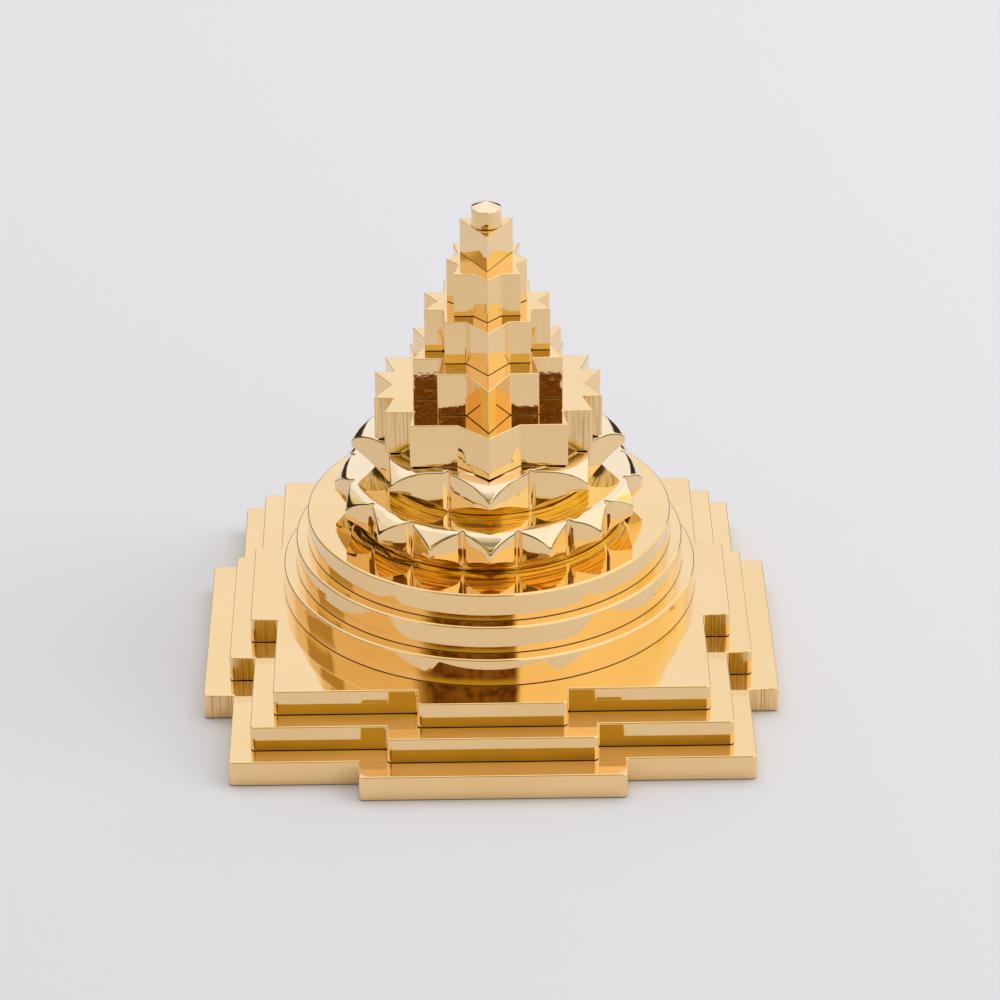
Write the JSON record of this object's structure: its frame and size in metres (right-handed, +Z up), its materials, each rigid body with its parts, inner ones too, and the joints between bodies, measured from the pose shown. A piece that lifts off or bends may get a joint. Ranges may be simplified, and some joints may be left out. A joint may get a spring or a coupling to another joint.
{
  "type": "meru shri yantra",
  "caption": "Stepped brass meru yantra: square plates with gates, round rings, petalled lotuses and pointed stars stacked on a central rod up to a round peg.",
  "frame": {"origin": "middle of the underside, on the axis of the tie rod", "axes": "+Z up along the tie rod to the peak, -Y to the front, where the triangle's point faces, +X to the right"},
  "size_m": [0.0748, 0.0748, 0.0658],
  "materials": {
    "polished_brass": "mirror polished and lacquered",
    "plain_brass": "drawn rod, unpolished",
    "fastener_steel": "zinc plated"
  },
  "bodies": {
    "root": {"square_plate_lower": "polished_brass", "square_plate_middle": "polished_brass", "square_plate_upper": "polished_brass", "ring_lower": "polished_brass", "ring_middle": "polished_brass", "ring_upper": "polished_brass", "lotus_sixteen": "polished_brass", "lotus_eight": "polished_brass", "star_fourteen": "polished_brass", "star_ten_outer": "polished_brass", "star_ten_inner": "polished_brass", "star_eight": "polished_brass", "triangle": "polished_brass", "bindu": "polished_brass", "tie_rod": "plain_brass", "base_washer": "fastener_steel", "base_nut": "fastener_steel"}
  },
  "joints": []
}
